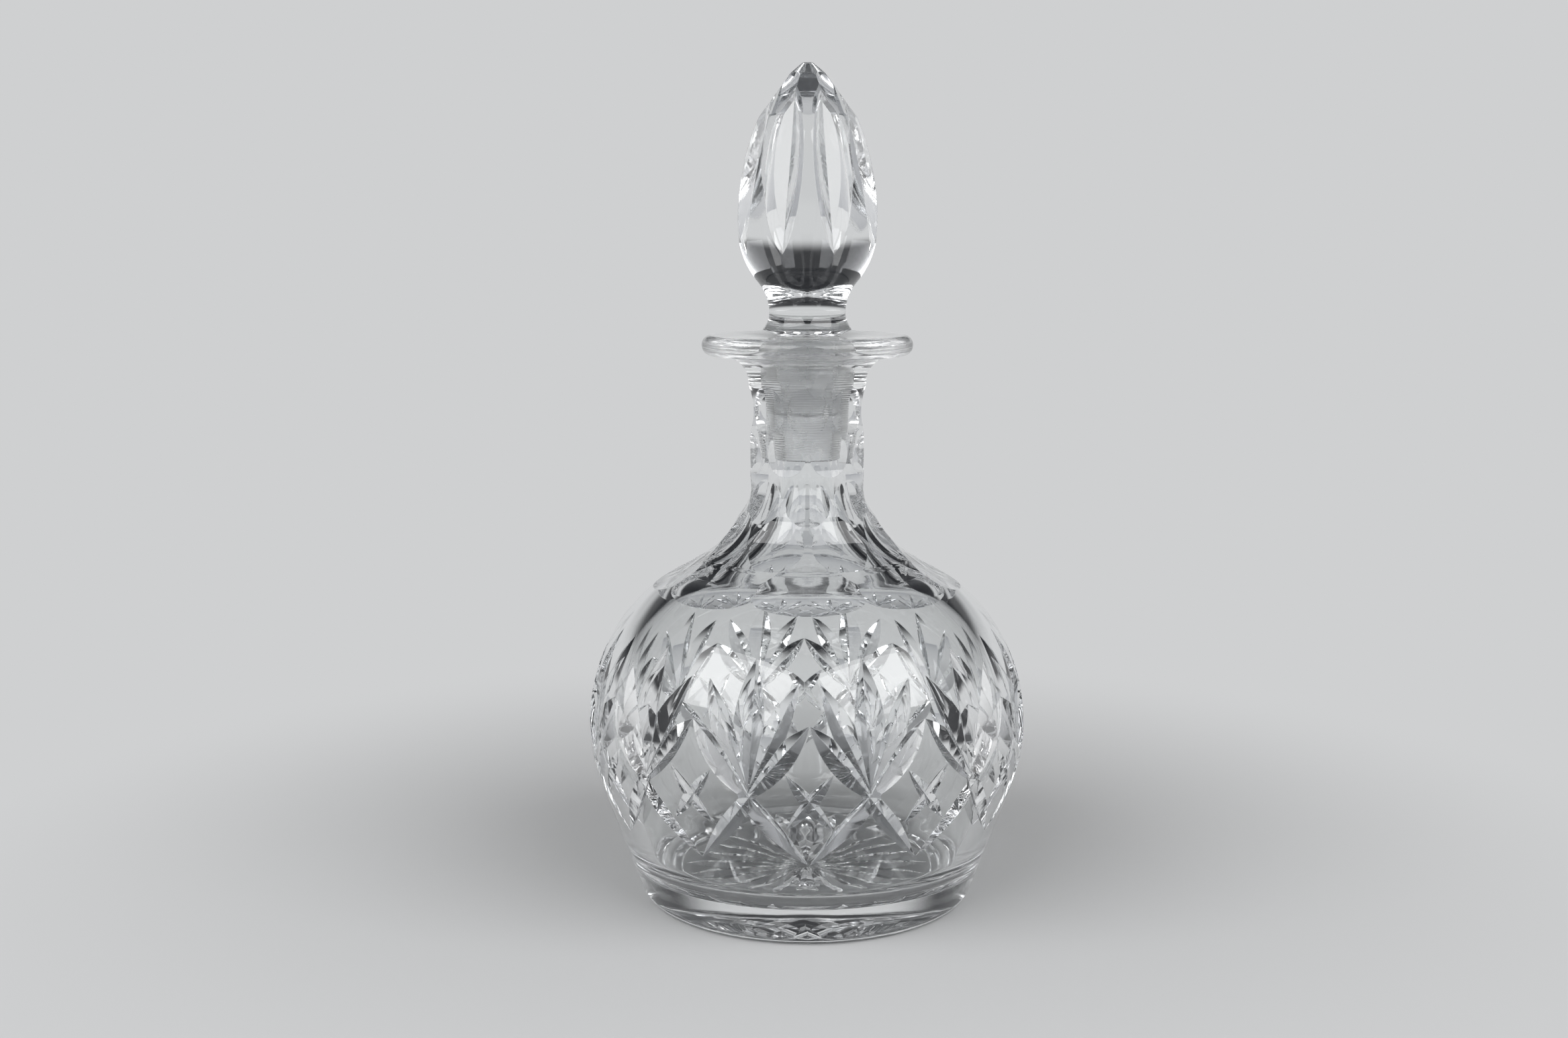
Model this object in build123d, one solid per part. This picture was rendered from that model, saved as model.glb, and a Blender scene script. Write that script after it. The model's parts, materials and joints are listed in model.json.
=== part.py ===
from build123d import *
import math
import os

# A globe decanter in cut lead crystal: one blown vessel and one solid stopper whose
# tapered peg is ground into the neck. Lengths are millimetres, turns are degrees,
# +Z is up, and the origin is the middle of the ring that the vessel rests on.

# The vessel's blank, before it is cut
belly_radius = 71.6        # greatest radius of the globe
belly_height = 58.5        # height of that greatest radius
globe_round = 57.0         # radius of the globe's side, seen in profile
wall_lean = 20.0           # how far the lower wall leans out from upright
foot_round = 5.0           # rounding between the lower wall and the rest
neck_radius = 18.4         # plain outside of the neck
neck_start = 142.0         # height where the shoulder's hollow meets the neck
flare_start = 163.0        # height where the neck begins to open towards the lip
flare_growth = 1.3         # how much wider the neck is under the lip
lip_radius = 34.0          # outer radius of the turned-out lip
lip_height = 185.0         # top of the lip's rim
lip_thickness = 6.2        # thickness of the rim
lip_edge_round = 3.0       # rounding of the rim
lip_drop = 2.2             # fall of the lip's underside from rim to neck
lip_root_round = 8.0       # hollow under the lip
glass_wall = 7.6           # thickness of the globe's wall
base_thickness = 12.0      # glass under the cavity
cavity_round = 15.0        # rounding between the cavity's floor and wall

# The underside
rest_width = 6.0           # width of the flat ring that the vessel stands on
recess_depth = 1.0         # hollow inside that ring

# The ground mouth and the stopper's peg, which share one taper
mouth_radius = 10.2        # bore at the top of the ground taper
mouth_dish = 1.6           # fall of the lip's top from rim to mouth
mouth_edge = 2.4           # eased edge from the dish into the bore
ground_length = 36.0       # length of the ground bore
taper = 0.05               # loss of radius for each unit of depth
peg_clearance = 0.05       # gap between peg and bore
bore_step = 0.4            # the blown bore below is this much slimmer than the ground one
bore_run = 3.0             # length of that blown bore before it opens into the globe
peg_length = 22.0          # ground length of the peg
peg_tip_round = 1.6        # rounding of the peg's lower end

# The stopper above the peg
collar_radius = 14.4       # widest ring of the stem, just over the mouth
collar_gap = 1.3           # gap between the collar and the mouth's dish
collar_rise = 1.8          # rise of the collar's underside from the peg to its edge
stem_radius = 12.3         # waist of the stem
stem_rise = 7.0            # height of the waist over the top of the lip
finial_radius = 22.4       # greatest radius of the finial
finial_rise = 34.5         # height of that radius over the top of the lip
finial_round = 28.0        # radius of the finial's lower side, seen in profile
finial_side_round = 88.0   # radius of its long upper side
point_start_rise = 63.0    # height over the lip where the side turns in to the point
point_radius = 1.6         # blunt end of the point
overall_height = 270.0     # top of the point

# The globe's cut pattern: fans of leaves over crossed mitres. Heights are shares of
# belly_height, and turns are shares of the turn from one fan to the next.
fan_count = 12
mitre_foot_share = 0.505   # lower ends of the mitres, halfway between two fans
mitre_end_share = 1.00     # where a mitre runs out, past the middle of its fan
mitre_turn_share = 0.64    # the turn that it covers on the way
leaf_start_share = 0.865   # lower ends of the leaves, just under the fan's middle
leaf_shift_share = 0.04    # how far the leaning leaves start beyond the fan's middle
outer_tip_share = 1.265    # tips of the outer leaves, halfway between two fans
side_tip_share = 1.465     # tips of the leaves beside the middle one
side_turn_share = 0.41     # their lean
middle_tip_share = 1.57    # tip of the middle leaf
cross_low_share = 0.72     # lower ends of the small cross between two fans
cross_high_share = 1.02    # its upper ends
cross_turn_share = 0.19    # half the turn that the small cross covers
leaf_angle = 50.0          # half the angle between a leaf's two cut faces
mitre_angle = 50.0         # the same for the mitres and the small crosses
outer_leaf_bow = 1.5       # how far an outer leaf dips under the line between its ends
cross_bow = 0.75           # the same for the small crosses

# The neck's scalloped facets, in staggered rows: lower end and upper end as shares of
# neck_start, and the turn as a share of one facet's. The first row is on the shoulder.
facet_count = 8
facet_row_shares = (
    (0.724, 0.836, 0.0),
    (0.795, 0.907, 0.5),
    (0.884, 0.982, 0.0),
    (0.990, 1.092, 0.5),
    (1.083, 1.180, 0.0),
)
shoulder_facet_depth = 1.6 # depth of the shoulder row's facets at their middle
facet_depth = 1.2          # depth of the rows above it

# The star under the base
star_rays = 24
star_eye_radius = 2.6      # plain middle that the rays start from
star_ray_depth = 2.2       # depth of a ray at its middle
star_margin = 2.0          # plain ring between the rays and the recess's rim
star_angle = 62.0          # half the angle between a ray's two faces

# The stopper's cutting: heights are shares of the glass over the lip
flute_count = 8
flute_low_share = 0.30     # lower ends of the flutes
flute_high_share = 0.895   # upper ends of the flutes
flute_bow = 0.5            # how far a flute dips under the line between its ends
flute_angle = 54.0         # half the angle between a flute's two faces
point_low_share = 0.80     # lower ends of the facets round the point
point_high_share = 0.965   # upper ends of those facets
point_facet_bow = 0.15     # how far they dip under the line between their ends

overrun = 2.0              # how far every cutter runs past the glass that it cuts
curve_error = 0.2          # how far the straight runs of a spun profile may leave its curves

dish_floor = lip_height - mouth_dish
mouth_top = dish_floor - mouth_edge
ground_end = mouth_top - ground_length
fan_turn = 360 / fan_count
facet_turn = 360 / facet_count


def polar(radius, turn, height):
    """A point by its radius, its turn from the front and its height."""
    angle = math.radians(turn)
    return Vector(radius * math.sin(angle), -radius * math.cos(angle), height)


def flat(radius, height):
    """A point of a profile, in the half plane that is spun about the axis."""
    return Vector(radius, 0, height)


def arc(centre, start, end):
    """The arc of a profile about a centre, from one (radius, height) to another."""
    middle = Vector(start[0] + end[0], start[1] + end[1]) / 2 - Vector(*centre)
    reach = math.dist(centre, start)
    top = Vector(*centre) + middle.normalized() * reach
    return ThreePointArc(flat(*start), flat(top.X, top.Y), flat(*end))


def runs(edge):
    """An arc of a profile as straight runs within curve_error of it. A line stays as it is."""
    if edge.geom_type != GeomType.CIRCLE:
        return [edge]
    most_turn = 2 * math.acos(1 - curve_error / edge.radius)
    count = math.ceil(edge.length / edge.radius / most_turn)
    return Polyline([edge @ (n / count) for n in range(count + 1)]).edges()


def spun(edges):
    """
    The solid that a closed profile makes when it is spun about the axis. Its round
    stretches are spun as short cones, which keeps a vessel with this many cuts light.
    """
    return revolve(make_face(Wire([run for edge in edges for run in runs(edge)])), Axis.Z)


class Swell:
    """The profile of a bulge that runs through a hollow, upright, into a slimmer stem."""

    def __init__(self, radius, height, bulge, stem, stem_height):
        self.bulge, self.stem, self.stem_height = bulge, stem, stem_height
        self.centre = (radius - bulge, height)
        rise, offset = stem_height - height, stem - self.centre[0]
        self.hollow = (offset**2 + rise**2 - bulge**2) / (2 * (bulge - offset))
        self.hollow_centre = (stem + self.hollow, stem_height)
        share = bulge / (bulge + self.hollow)
        self.join = tuple(a + (b - a) * share for a, b in zip(self.centre, self.hollow_centre))

    def leave(self, tilt):
        """The point of the bulge where the glass faces up by this tilt."""
        angle = math.radians(tilt)
        return self.centre[0] + self.bulge * math.cos(angle), self.centre[1] + self.bulge * math.sin(angle)


outside = Swell(belly_radius, belly_height, globe_round, neck_radius, neck_start)
inside = Swell(
    belly_radius - glass_wall, belly_height, globe_round - glass_wall,
    mouth_radius - taper * ground_length - bore_step, ground_end - bore_run,
)
finial = Swell(finial_radius, lip_height + finial_rise, finial_round, stem_radius, lip_height + stem_rise)
side_centre = (finial_radius - finial_side_round, finial.centre[1])


def lower_wall(swell, height):
    """Radius of the leaning wall that leaves a swell tangentially, and where it leaves."""
    leave = swell.leave(-wall_lean)
    return leave[0] - (leave[1] - height) * math.tan(math.radians(wall_lean)), leave


foot_radius, foot_leave = lower_wall(outside, 0)
recess_radius = foot_radius - rest_width - foot_round * math.tan(math.radians(45 - wall_lean / 2))


def on_bulge(centre, bulge, height):
    """Radius of an arc that bulges out at a height, and how far the glass faces up there."""
    tilt = math.asin((height - centre[1]) / bulge)
    return centre[0] + bulge * math.cos(tilt), math.degrees(tilt)


def skin(height):
    """Radius of the blank vessel at a height, and how far its glass faces up there."""
    radius, leave = lower_wall(outside, height)
    if height < leave[1]:
        return radius, -wall_lean
    if height < outside.join[1]:
        return on_bulge(outside.centre, globe_round, height)
    if height < neck_start:
        tilt = math.asin((neck_start - height) / outside.hollow)
        return outside.hollow_centre[0] - outside.hollow * math.cos(tilt), math.degrees(tilt)
    return neck_radius, 0.0


def point_arc():
    """The arc that carries the finial's side on to its blunt end: start, centre, radius."""
    height = lip_height + point_start_rise
    radius, tilt = on_bulge(side_centre, finial_side_round, height)
    faces = Vector(math.cos(math.radians(tilt)), math.sin(math.radians(tilt)))
    run = Vector(point_radius, overall_height) - Vector(radius, height)
    bulge = -run.length**2 / (2 * run.dot(faces))
    centre = Vector(radius, height) - faces * bulge
    return (radius, height), (centre.X, centre.Y), bulge


def finial_skin(height):
    """The same as skin, for the finial's lower side, its long upper side and its point."""
    start, centre, bulge = point_arc()
    if height > start[1]:
        return on_bulge(centre, bulge, height)
    if height > finial.centre[1]:
        return on_bulge(side_centre, finial_side_round, height)
    return on_bulge(finial.centre, finial_round, height)


def vessel_outline():
    """The outline from the middle of the underside, up the outside and into the mouth."""
    recess = Polyline(
        flat(0, recess_depth), flat(recess_radius - recess_depth, recess_depth), flat(recess_radius, 0)
    )
    foot = FilletPolyline(
        flat(recess_radius, 0), flat(foot_radius, 0), flat(*foot_leave), radius=foot_round
    )
    lip = FilletPolyline(
        flat(neck_radius, neck_start),
        flat(neck_radius, flare_start),
        flat(neck_radius + flare_growth, lip_height - lip_thickness - lip_drop),
        flat(lip_radius, lip_height - lip_thickness),
        flat(lip_radius, lip_height),
        flat(mouth_radius + mouth_edge, dish_floor),
        flat(mouth_radius, mouth_top),
        radius=[lip_root_round, lip_root_round, lip_edge_round, lip_edge_round, mouth_edge],
    )
    globe = arc(outside.centre, foot_leave, outside.join)
    shoulder = arc(outside.hollow_centre, outside.join, (neck_radius, neck_start))
    return recess.edges() + foot.edges() + [globe, shoulder] + lip.edges()


def cavity_outline():
    """The outline down the ground bore and round the inside of the globe."""
    ground_radius = mouth_radius - taper * ground_length
    bore = Polyline(
        flat(mouth_radius, mouth_top),
        flat(ground_radius, ground_end),
        flat(inside.stem, ground_end - bore_step),
        flat(inside.stem, inside.stem_height),
    )
    floor_radius, leave = lower_wall(inside, base_thickness)
    shoulder = arc(inside.hollow_centre, (inside.stem, inside.stem_height), inside.join)
    globe = arc(inside.centre, inside.join, leave)
    floor = FilletPolyline(
        flat(*leave), flat(floor_radius, base_thickness), flat(0, base_thickness), radius=cavity_round
    )
    return bore.edges() + [shoulder, globe] + floor.edges()


def vessel_blank():
    """The blown vessel with its lip and its ground mouth, before any cutting."""
    axis = Line(flat(0, base_thickness), flat(0, recess_depth))
    return spun(vessel_outline() + cavity_outline() + [axis])


def wheel_radius(length, bow):
    """Radius of the wheel that dips by bow under a line of this length."""
    return (length**2 / 4 + bow**2) / (2 * bow)


def groove(start, end, faces, rise, bow, half_angle):
    """
    What a V-edged wheel takes away between two points of the skin. The glass faces
    this way and rises this much over the straight line between them.
    """
    along, middle = end - start, (start + end) / 2
    length = along.length
    along = along.normalized()
    out = (faces - along * faces.dot(along)).normalized()
    across = out.cross(along)
    reach = bow + max(rise, 0) + overrun
    half_width = reach * math.tan(math.radians(half_angle))
    if not bow:
        start_plane = Plane(middle - along * (length / 2 + overrun), x_dir=across, z_dir=along)
        edge = Polyline((0, 0), (half_width, reach), (-half_width, reach), close=True)
        return extrude(start_plane * make_face(edge), length + 2 * overrun)
    wheel = wheel_radius(length, bow)
    centre = middle + out * (wheel - bow)
    edge = Polyline((0, -wheel), (half_width, reach - wheel), (-half_width, reach - wheel), close=True)
    axle = Axis(centre, across)
    sweep = math.degrees(math.asin((length / 2 + overrun) / wheel))
    face = Plane(centre, x_dir=across, z_dir=along) * make_face(edge)
    return revolve(face.rotate(axle, -sweep), axle, 2 * sweep)


def skin_groove(start, end, bow, half_angle):
    """A groove between two (turn, height) places on the blank vessel."""
    first, last = (polar(skin(height)[0], turn, height) for turn, height in (start, end))
    middle = (first + last) / 2
    turn = (start[0] + end[0]) / 2
    radius, tilt = skin(middle.Z)
    faces = polar(math.cos(math.radians(tilt)), turn, math.sin(math.radians(tilt)))
    rise = (radius - math.hypot(middle.X, middle.Y)) * math.cos(math.radians(tilt))
    return groove(first, last, faces, rise, bow, half_angle)


def fan_cuts():
    """All the cuts of one fan: its leaves, its two mitres and half of each small cross."""
    tips = belly_height * outer_tip_share, belly_height * side_tip_share
    start, shift = belly_height * leaf_start_share, fan_turn * leaf_shift_share
    cuts = [skin_groove((0, start), (0, belly_height * middle_tip_share), 0, leaf_angle)]
    for side in (-1, 1):
        lean = side * fan_turn
        outer = (-side * shift, start), (lean / 2, tips[0])
        inner = (-side * shift, start), (lean * side_turn_share, tips[1])
        mitre_foot = (-lean / 2, belly_height * mitre_foot_share)
        mitre_end = (lean * (mitre_turn_share - 0.5), belly_height * mitre_end_share)
        low = (lean / 2 - lean * cross_turn_share, belly_height * cross_low_share)
        high = (lean / 2 + lean * cross_turn_share, belly_height * cross_high_share)
        cuts += [
            skin_groove(*outer, outer_leaf_bow, mitre_angle),
            skin_groove(*inner, 0, leaf_angle),
            skin_groove(mitre_foot, mitre_end, 0, mitre_angle),
            skin_groove(low, high, cross_bow, mitre_angle),
        ]
    return cuts


def front_chord(profile, low, high):
    """
    The two ends of a straight line up the front, between two heights of a profile, the
    way the glass faces at its middle, how far it rises over the line, and its radius.
    """
    first, last = (polar(profile(height)[0], 0, height) for height in (low, high))
    middle = (first + last) / 2
    radius, tilt = profile(middle.Z)
    angle = math.radians(tilt)
    rise = (radius + middle.Y) * math.cos(angle)
    return first, last, polar(math.cos(angle), 0, math.sin(angle)), rise, radius


def facet(low, high, faces, rise, bow, half_width):
    """What a flat-edged wheel takes away over a line that it dips under by bow."""
    along, middle = high - low, (low + high) / 2
    length = along.length
    along = along.normalized()
    out = (faces - along * faces.dot(along)).normalized()
    wheel = wheel_radius(length, bow)
    reach = max(rise, 0) + overrun
    half_chord = math.sqrt(wheel**2 - (wheel - bow - reach) ** 2)
    segment = ThreePointArc((-half_chord, reach), (0, -bow), (half_chord, reach))
    chord = Line((half_chord, reach), (-half_chord, reach))
    face = Plane(middle, x_dir=along, z_dir=along.cross(out)) * make_face(Wire([segment, chord]))
    return extrude(face, half_width, both=True)


def neck_cuts():
    """The scalloped facets of the shoulder and the neck, row by row."""
    cuts = []
    for row, (low_share, high_share, turn_share) in enumerate(facet_row_shares):
        low, high = neck_start * low_share, neck_start * high_share
        first, last, faces, rise, radius = front_chord(skin, low, high)
        depth = facet_depth if row else shoulder_facet_depth
        cut = facet(first, last, faces, rise, depth - rise, radius)
        cuts += [Rot(Z=facet_turn * (n + turn_share)) * cut for n in range(facet_count)]
    return cuts


def star_cuts():
    """The rays of the star under the base."""
    rim = recess_radius - recess_depth - star_margin
    ray = groove(
        polar(star_eye_radius, 0, recess_depth), polar(rim, 0, recess_depth),
        Vector(0, 0, -1), 0, star_ray_depth, star_angle,
    )
    return [Rot(Z=360 / star_rays * n) * ray for n in range(star_rays)]


def decanter_body():
    """The vessel with its fans, its scalloped neck and its star."""
    fans = [Rot(Z=fan_turn * (n + 0.5)) * cut for n in range(fan_count) for cut in fan_cuts()]
    return vessel_blank() - (fans + neck_cuts() + star_cuts())


def stopper_blank():
    """The stopper's peg, collar, stem and finial, before any cutting."""
    peg_top, peg_low = mouth_radius - peg_clearance, mouth_top - peg_length
    collar = dish_floor + collar_gap
    edge = (collar_radius, collar + collar_rise)
    collar_peg = peg_top + taper * (collar - mouth_top)
    peg = FilletPolyline(
        flat(0, peg_low), flat(peg_top - taper * peg_length, peg_low), flat(collar_peg, collar),
        radius=peg_tip_round,
    )
    waist = (stem_radius, finial.stem_height)
    spread = collar_radius - stem_radius
    stem_round = (spread**2 + (waist[1] - edge[1]) ** 2) / (2 * spread)
    belly = (finial_radius, finial.centre[1])
    turn_in, point_centre, _ = point_arc()
    blunt = (point_radius, overall_height)
    return spun(peg.edges() + [
        Line(flat(collar_peg, collar), flat(*edge)),
        arc((stem_radius + stem_round, waist[1]), edge, waist),
        arc(finial.hollow_centre, waist, finial.join),
        arc(finial.centre, finial.join, belly),
        arc(side_centre, belly, turn_in),
        arc(point_centre, turn_in, blunt),
        Line(flat(*blunt), flat(0, overall_height)),
        Line(flat(0, overall_height), flat(0, peg_low)),
    ])


def stopper_cuts():
    """The long flutes of the finial, and the facets round its point between them."""
    glass = overall_height - lip_height
    flute_ends = (lip_height + glass * share for share in (flute_low_share, flute_high_share))
    point_ends = (lip_height + glass * share for share in (point_low_share, point_high_share))
    *line, _ = front_chord(finial_skin, *flute_ends)
    flute = groove(*line, flute_bow, flute_angle)
    *line, radius = front_chord(finial_skin, *point_ends)
    point_facet = facet(*line, point_facet_bow, radius)
    turn = 360 / flute_count
    flutes = [Rot(Z=turn * (n + 0.5)) * flute for n in range(flute_count)]
    return flutes + [Rot(Z=turn * n) * point_facet for n in range(flute_count)]


def stopper():
    """The stopper with its flutes and its faceted point."""
    return stopper_blank() - stopper_cuts()


os.makedirs("parts", exist_ok=True)
for name, piece in (("decanter_body", decanter_body()), ("stopper", stopper())):
    export_step(piece, f"parts/{name}.step")
    print(name, round(piece.volume), "cubic mm, valid:", piece.is_valid)
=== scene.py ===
import json
import math

import bmesh
import bpy
from bpy.props import FloatProperty, FloatVectorProperty, IntProperty, PointerProperty
from mathutils import Matrix, Vector

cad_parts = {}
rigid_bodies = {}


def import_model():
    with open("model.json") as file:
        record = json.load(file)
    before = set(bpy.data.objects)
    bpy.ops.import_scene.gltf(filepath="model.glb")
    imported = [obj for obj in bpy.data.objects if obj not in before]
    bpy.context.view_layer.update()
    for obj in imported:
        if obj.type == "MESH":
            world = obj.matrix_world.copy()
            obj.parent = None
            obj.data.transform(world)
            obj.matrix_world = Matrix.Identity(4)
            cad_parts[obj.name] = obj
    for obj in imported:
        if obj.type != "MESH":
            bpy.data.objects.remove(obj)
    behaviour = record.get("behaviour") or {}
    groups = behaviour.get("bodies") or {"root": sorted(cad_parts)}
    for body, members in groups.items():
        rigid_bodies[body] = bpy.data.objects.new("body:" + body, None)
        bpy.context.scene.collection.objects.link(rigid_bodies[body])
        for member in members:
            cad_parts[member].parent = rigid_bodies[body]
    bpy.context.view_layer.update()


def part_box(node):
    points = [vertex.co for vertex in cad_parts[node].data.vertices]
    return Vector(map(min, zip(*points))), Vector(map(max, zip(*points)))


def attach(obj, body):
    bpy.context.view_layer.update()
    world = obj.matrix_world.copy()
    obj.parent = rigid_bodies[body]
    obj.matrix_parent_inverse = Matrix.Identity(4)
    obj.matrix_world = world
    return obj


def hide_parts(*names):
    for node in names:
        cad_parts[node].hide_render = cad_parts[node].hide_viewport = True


bl_info = {
    "name": "Globe decanter",
    "version": (1, 0, 0),
    "blender": (4, 5, 0),
    "location": "View3D > Sidebar > Decanter",
    "description": "A cut crystal globe decanter with its ground stopper, in a pale studio",
    "category": "Object",
}

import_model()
vessel_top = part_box("decanter_body")[1]
stopper_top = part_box("stopper")[1]

# How finely round shapes are drawn: the longest step and the widest turn along a profile,
# the steps of a whole turn about the axis, and the longest step along a wheel's rim
PROFILE_STEP = 0.0014
PROFILE_TURN = math.radians(7.5)
LATHE_STEPS = 240
WHEEL_STEP = 0.0011

# Edges where the surface turns by more than this are drawn sharp
SHARP_ANGLE = math.radians(13)

# Points that lie closer together than this are one
WELD = 1e-7

# How far every cutter runs past the glass that it cuts
OVERRUN = 0.002

# Material slots of a piece: the blown or polished skin comes first
CUT_SLOT, GROUND_SLOT = 1, 2

# How far the floor lies under the foot, so that board and glass never share a surface
FLOOR_GAP = 0.00005

# Lead crystal: how strongly it bends light, its tint at the surface and in its depth, the
# rounding of its edges, and the share of the light that its ground finish lets through
GLASS_INDEX = 1.545
SURFACE_TINT, DEPTH_TINT, DEPTH_DENSITY = "#fcfdfd", "#d9dade", 1
EASED_EDGE = 0.00025
GROUND_CLEAR = 0.75

# Roughness of the wheel-cut finish, of the ground one where it is rubbed and where it is
# not, and the levels of the noise between which it is a little of both
CUT_ROUGHNESS = 0.03
RUBBED_ROUGHNESS, FROST_ROUGHNESS = 0.14, 0.45
RUBBED_LEVEL, FROST_LEVEL = 0.42, 0.6

# Marks in the surfaces: how far apart they lie and how deep they are. The rings that the
# grinding left are about 0.1 mm apart on a real peg, and coarser here so that they show.
BLOWN_WAVES, BLOWN_RELIEF = 0.022, 0.0001
WHEEL_RIPPLES, WHEEL_RELIEF = 0.0025, 0.00001
GRINDING_RINGS, GRINDING_RELIEF = 0.0009, 0.00008
RUBBED_PATCHES = 0.009
BOARD_GRAIN, BOARD_RELIEF = 0.003, 0.0001

# The painted board: how rough it is and how strongly it shines
BOARD_ROUGHNESS, BOARD_SHINE = 0.7, 0.25

# Scale at which a wave texture has one band in a metre
ONE_BAND = math.pi / 10

# How often light may bend or bounce on its way through the glass
GLASS_BOUNCES = 24

# The photograph's width in pixels, and the width of the camera's sensor in millimetres
PHOTO_WIDTH = 2369
SENSOR_WIDTH = 36

FULL_TURN = 2 * math.pi

# One fan's cuts on the right of its middle, which the left mirrors: turn and height of
# the lower end, then of the upper end, as shares of the turn from fan to fan and of the
# belly's height, then the names of the cut's bow and of its angle.
FAN_SHARES = (
    (-0.04, 0.865, 0.50, 1.265, "outer_leaf_bow", "mitre_angle"),
    (-0.04, 0.865, 0.41, 1.465, None, "leaf_angle"),
    (-0.50, 0.505, 0.14, 1.000, None, "mitre_angle"),
    (0.31, 0.720, 0.69, 1.020, "cross_bow", "mitre_angle"),
)
MIDDLE_LEAF_SHARES = (0.0, 0.865, 0.0, 1.570, None, "leaf_angle")

# The neck's rows of scallops: lower and upper end as shares of the neck's start, the turn
# as a share of one facet's, and the name of their depth
FACET_ROW_SHARES = (
    (0.724, 0.836, 0.0, "shoulder_facet_depth"),
    (0.795, 0.907, 0.5, "facet_depth"),
    (0.884, 0.982, 0.0, "facet_depth"),
    (0.990, 1.092, 0.5, "facet_depth"),
    (1.083, 1.180, 0.0, "facet_depth"),
)

# The stopper's cuts: lower and upper end as shares of the glass over the lip
FLUTE_SHARES = (0.30, 0.895)
POINT_FACET_SHARES = (0.80, 0.965)


def length(name, description, default):
    return FloatProperty(
        name=name, description=description, default=default, min=0, unit="LENGTH", precision=5
    )


def angle(name, description, degrees):
    return FloatProperty(
        name=name, description=description, default=math.radians(degrees), subtype="ANGLE"
    )


def number(name, description, default):
    return FloatProperty(name=name, description=description, default=default)


def count(name, description, default):
    return IntProperty(name=name, description=description, default=default, min=3)


def linear(hex_colour):
    """The linear colour of an sRGB hex value."""
    channels = (int(hex_colour[n:n + 2], 16) / 255 for n in (1, 3, 5))
    return tuple(c / 12.92 if c <= 0.04045 else ((c + 0.055) / 1.055) ** 2.4 for c in channels)


def colour(name, description, hex_colour):
    return FloatVectorProperty(
        name=name, description=description, default=linear(hex_colour), subtype="COLOR", min=0, max=1
    )


class VesselSizes(bpy.types.PropertyGroup):
    """Sizes of the blown vessel"""

    belly_radius: length("Belly radius", "Greatest radius of the globe", vessel_top.x)
    belly_height: length("Belly height", "Height of that radius", 0.0585)
    globe_round: length("Globe round", "Radius of the globe's side, seen in profile", 0.057)
    wall_lean: angle("Wall lean", "How far the lower wall leans out from upright", 20)
    foot_round: length("Foot round", "Rounding between the lower wall and the rest", 0.005)
    neck_radius: length("Neck radius", "Plain outside of the neck", 0.0184)
    neck_start: length("Neck start", "Height where the shoulder meets the neck", 0.142)
    flare_start: length("Flare start", "Height where the neck begins to open", 0.163)
    flare_growth: length("Flare growth", "How much wider the neck is under the lip", 0.0013)
    lip_radius: length("Lip radius", "Outer radius of the turned-out lip", 0.034)
    lip_height: length("Lip height", "Top of the lip's rim", 0.185)
    lip_thickness: length("Lip thickness", "Thickness of the rim", 0.0062)
    lip_edge_round: length("Lip edge round", "Rounding of the rim", 0.003)
    lip_drop: length("Lip drop", "Fall of the lip's underside from rim to neck", 0.0022)
    lip_root_round: length("Lip root round", "Hollow under the lip", 0.008)
    glass_wall: length("Glass wall", "Thickness of the globe's wall", 0.0076)
    base_thickness: length("Base thickness", "Glass under the cavity", 0.012)
    cavity_round: length("Cavity round", "Rounding between the cavity's floor and wall", 0.015)
    rest_width: length("Rest width", "Width of the flat ring that the vessel stands on", 0.006)
    recess_depth: length("Recess depth", "Hollow inside that ring", 0.001)
    mouth_radius: length("Mouth radius", "Bore at the top of the ground taper", 0.0102)
    mouth_dish: length("Mouth dish", "Fall of the lip's top from rim to mouth", 0.0016)
    mouth_edge: length("Mouth edge", "Eased edge from the dish into the bore", 0.0024)
    ground_length: length("Ground length", "Length of the ground bore", 0.036)
    taper: number("Taper", "Loss of radius for each unit of depth", 0.05)
    bore_step: length("Bore step", "How much slimmer the blown bore is than the ground one", 0.0004)
    bore_run: length("Bore run", "Length of the blown bore", 0.003)


class CutSizes(bpy.types.PropertyGroup):
    """Sizes of the cuts in the vessel"""

    fan_count: count("Fans", "Number of fans round the globe", 12)
    leaf_angle: angle("Leaf angle", "Half the angle between a leaf's two faces", 50)
    mitre_angle: angle("Mitre angle", "The same for the mitres and the crosses", 50)
    outer_leaf_bow: length("Outer leaf bow", "How far an outer leaf dips between its ends", 0.0015)
    cross_bow: length("Cross bow", "The same for the small crosses", 0.00075)
    facet_count: count("Scallops", "Scallops in one row of the neck", 8)
    shoulder_facet_depth: length("Shoulder scallop depth", "Depth of the lowest row's scallops", 0.0016)
    facet_depth: length("Scallop depth", "Depth of the rows above it", 0.0012)
    star_rays: count("Star rays", "Rays of the star under the base", 24)
    star_eye_radius: length("Star eye radius", "Plain middle that the rays start from", 0.0026)
    star_ray_depth: length("Star ray depth", "Depth of a ray at its middle", 0.0022)
    star_margin: length("Star margin", "Plain ring between the rays and the recess's rim", 0.002)
    star_angle: angle("Star angle", "Half the angle between a ray's two faces", 62)


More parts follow.
